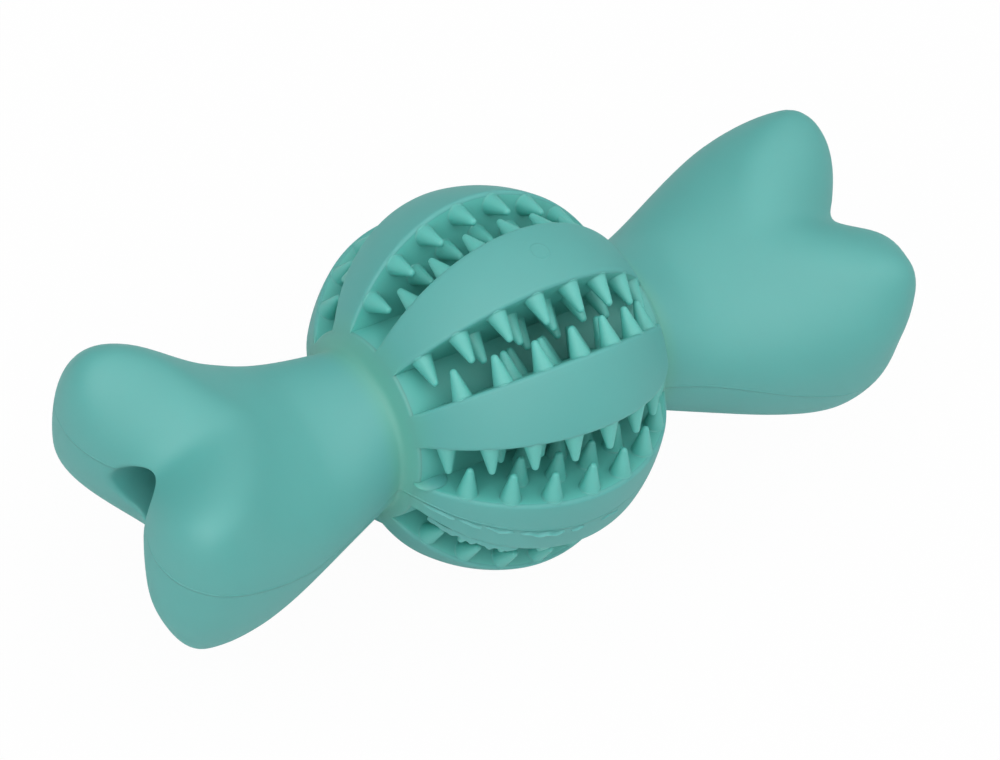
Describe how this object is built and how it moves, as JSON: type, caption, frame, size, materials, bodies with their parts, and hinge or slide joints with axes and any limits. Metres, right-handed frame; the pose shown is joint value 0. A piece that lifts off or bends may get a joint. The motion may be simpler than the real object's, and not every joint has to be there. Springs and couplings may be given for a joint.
{
  "type": "dog chew toy",
  "caption": "Moulded rubber bone chew toy with a toothed, slotted ball in the middle and a blind treat hole in each knuckled end.",
  "frame": {"origin": "centre of the ball, which is the middle of the whole bone", "axes": "+X along the bone from the left end to the right end, Y through the two knuckles of each end (the mould's parting plane is XY), +Z square to the flat of the bone"},
  "size_m": [0.1526, 0.065, 0.065],
  "materials": {
    "teal_rubber": "matte teal rubber with a soft sheen"
  },
  "bodies": {
    "root": {"ball_core": "teal_rubber", "rib_1": "teal_rubber", "rib_2": "teal_rubber", "rib_3": "teal_rubber", "rib_4": "teal_rubber", "rib_5": "teal_rubber", "rib_6": "teal_rubber", "rib_7": "teal_rubber", "rib_8": "teal_rubber", "rib_1_teeth": "teal_rubber", "rib_2_teeth": "teal_rubber", "rib_3_teeth": "teal_rubber", "rib_4_teeth": "teal_rubber", "rib_5_teeth": "teal_rubber", "rib_6_teeth": "teal_rubber", "rib_7_teeth": "teal_rubber", "rib_8_teeth": "teal_rubber", "left_bone_end": "teal_rubber", "right_bone_end": "teal_rubber"}
  },
  "joints": []
}
